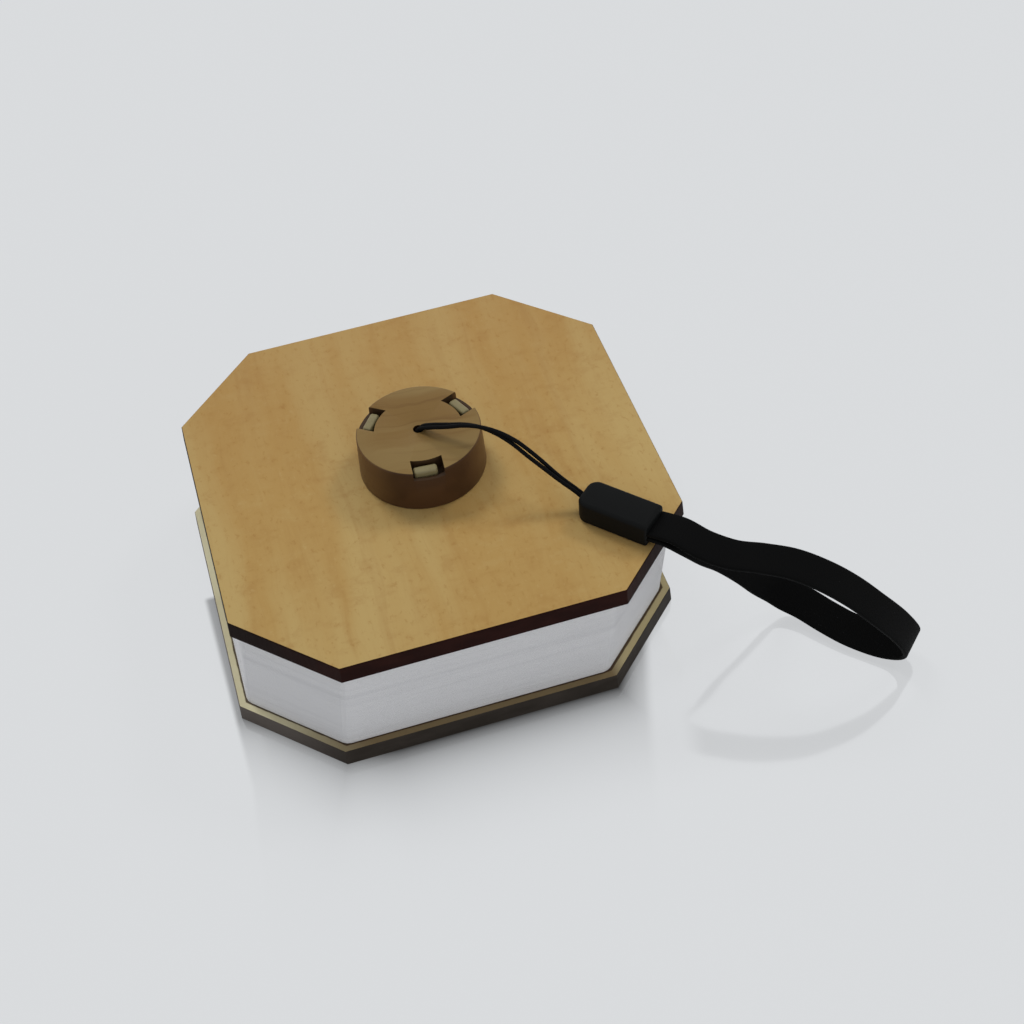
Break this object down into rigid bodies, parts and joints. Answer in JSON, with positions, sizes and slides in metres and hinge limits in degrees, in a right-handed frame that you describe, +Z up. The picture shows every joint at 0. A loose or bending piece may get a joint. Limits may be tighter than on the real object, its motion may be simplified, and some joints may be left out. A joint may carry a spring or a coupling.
{
  "type": "folding book lamp",
  "caption": "Octagonal folding book lamp with veneered covers, hinged spine, folded paper leaves, inner light module and a magnetic hub on a cord with a wrist strap.",
  "frame": {"origin": "middle of the lamp's footprint on its underside, measured without the cord and the strap", "axes": "+Z up through the stacked covers, +Y towards the spine, +X to the right seen from the fore edge"},
  "size_m": [0.1829, 0.147, 0.0608],
  "materials": {
    "board_edge": "dark stained edge, satin",
    "veneer": "light figured veneer, satin",
    "lining": "matte lining paper",
    "spine_wood": "light veneer, satin",
    "magnet": "nickel plated",
    "plate": "satin",
    "screw": "blackened steel",
    "steel": "plain steel",
    "pin": "ground steel",
    "housing": "moulded white",
    "diffuser": "frosted white",
    "board_white": "white circuit board",
    "board_green": "green circuit board",
    "chip": "black package",
    "led": "phosphor coated",
    "battery_foil": "foil pouch",
    "switch_glass": "clear glass tube",
    "paper": "white matte paper",
    "hub_wood": "dark figured wood, satin",
    "hub_magnet": "cream coated bar magnet",
    "pad_felt": "thin felt",
    "cord": "braided black cord",
    "bead": "black moulded",
    "strap": "flat woven black band"
  },
  "bodies": {
    "base": {"base_board": "board_edge", "base_veneer": "veneer", "base_lining": "lining", "base_magnets": "magnet", "base_hinges": "plate", "base_screws": "screw", "switch_magnet": "magnet"},
    "spine": {"spine_strip": "spine_wood", "hinge_pins": "pin", "lamp_housing": "housing", "housing_screws": "screw", "diffuser": "diffuser", "led_board": "board_white", "leds": "led", "battery": "battery_foil", "battery_tabs": "steel", "control_board": "board_green", "board_chips": "chip", "board_link": "chip", "reed_switch": "switch_glass", "usb_socket": "steel"},
    "lid": {"lid_board": "board_edge", "lid_veneer": "veneer", "lid_lining": "lining", "lid_magnets": "magnet", "lid_hinges": "plate", "lid_screws": "screw", "lid_steel_disc": "steel"},
    "hub": {"hub_disc": "hub_wood", "hub_magnets": "hub_magnet", "hub_pad": "pad_felt", "cord_knot": "cord", "hub_cord": "cord", "cord_bead": "bead", "wrist_strap": "strap"},
    "leaf_01": {"page_01": "paper"},
    "leaf_02": {"page_02": "paper"},
    "leaf_03": {"page_03": "paper"},
    "leaf_04": {"page_04": "paper"},
    "leaf_05": {"page_05": "paper"},
    "leaf_06": {"page_06": "paper"},
    "leaf_07": {"page_07": "paper"},
    "leaf_08": {"page_08": "paper"},
    "leaf_09": {"page_09": "paper"},
    "leaf_10": {"page_10": "paper"},
    "leaf_11": {"page_11": "paper"},
    "leaf_12": {"page_12": "paper"}
  },
  "joints": [
    {"name": "spine_hinge", "type": "hinge", "parent": "base", "child": "spine", "pos_m": [0, 0.0572, 0.0087], "axis": [-1, 0, 0], "range_deg": [0, 90]},
    {"name": "lid_hinge", "type": "hinge", "parent": "spine", "child": "lid", "pos_m": [0, 0.0572, 0.0319], "axis": [-1, 0, 0], "range_deg": [0, 90]},
    {"name": "hub_lift", "type": "slide", "parent": "lid", "child": "hub", "axis": [0, 0, 1], "range_m": [0, 0.04]},
    {"name": "leaf_01_turn", "type": "hinge", "parent": "base", "child": "leaf_01", "pos_m": [0, 0.0572, 0.0087], "axis": [-1, 0, 0], "range_deg": [0, 90]},
    {"name": "leaf_02_turn", "type": "hinge", "parent": "base", "child": "leaf_02", "pos_m": [0, 0.0572, 0.0087], "axis": [-1, 0, 0], "range_deg": [0, 90]},
    {"name": "leaf_03_turn", "type": "hinge", "parent": "base", "child": "leaf_03", "pos_m": [0, 0.0572, 0.0087], "axis": [-1, 0, 0], "range_deg": [0, 90]},
    {"name": "leaf_04_turn", "type": "hinge", "parent": "base", "child": "leaf_04", "pos_m": [0, 0.0572, 0.0087], "axis": [-1, 0, 0], "range_deg": [0, 90]},
    {"name": "leaf_05_turn", "type": "hinge", "parent": "base", "child": "leaf_05", "pos_m": [0, 0.0572, 0.0087], "axis": [-1, 0, 0], "range_deg": [0, 90]},
    {"name": "leaf_06_turn", "type": "hinge", "parent": "base", "child": "leaf_06", "pos_m": [0, 0.0572, 0.0087], "axis": [-1, 0, 0], "range_deg": [0, 90]},
    {"name": "leaf_07_turn", "type": "hinge", "parent": "spine", "child": "leaf_07", "pos_m": [0, 0.0572, 0.0319], "axis": [-1, 0, 0], "range_deg": [0, 90]},
    {"name": "leaf_08_turn", "type": "hinge", "parent": "spine", "child": "leaf_08", "pos_m": [0, 0.0572, 0.0319], "axis": [-1, 0, 0], "range_deg": [0, 90]},
    {"name": "leaf_09_turn", "type": "hinge", "parent": "spine", "child": "leaf_09", "pos_m": [0, 0.0572, 0.0319], "axis": [-1, 0, 0], "range_deg": [0, 90]},
    {"name": "leaf_10_turn", "type": "hinge", "parent": "spine", "child": "leaf_10", "pos_m": [0, 0.0572, 0.0319], "axis": [-1, 0, 0], "range_deg": [0, 90]},
    {"name": "leaf_11_turn", "type": "hinge", "parent": "spine", "child": "leaf_11", "pos_m": [0, 0.0572, 0.0319], "axis": [-1, 0, 0], "range_deg": [0, 90]},
    {"name": "leaf_12_turn", "type": "hinge", "parent": "spine", "child": "leaf_12", "pos_m": [0, 0.0572, 0.0319], "axis": [-1, 0, 0], "range_deg": [0, 90]}
  ],
  "couplings": [
    {"joint": "leaf_01_turn", "follows": "spine_hinge", "ratio": 0.019676},
    {"joint": "leaf_02_turn", "follows": "spine_hinge", "ratio": 0.15625},
    {"joint": "leaf_03_turn", "follows": "spine_hinge", "ratio": 0.37616},
    {"joint": "leaf_04_turn", "follows": "spine_hinge", "ratio": 0.62384},
    {"joint": "leaf_05_turn", "follows": "spine_hinge", "ratio": 0.84375},
    {"joint": "leaf_06_turn", "follows": "spine_hinge", "ratio": 0.98032},
    {"joint": "leaf_07_turn", "follows": "lid_hinge", "ratio": 0.019676},
    {"joint": "leaf_08_turn", "follows": "lid_hinge", "ratio": 0.15625},
    {"joint": "leaf_09_turn", "follows": "lid_hinge", "ratio": 0.37616},
    {"joint": "leaf_10_turn", "follows": "lid_hinge", "ratio": 0.62384},
    {"joint": "leaf_11_turn", "follows": "lid_hinge", "ratio": 0.84375},
    {"joint": "leaf_12_turn", "follows": "lid_hinge", "ratio": 0.98032}
  ]
}
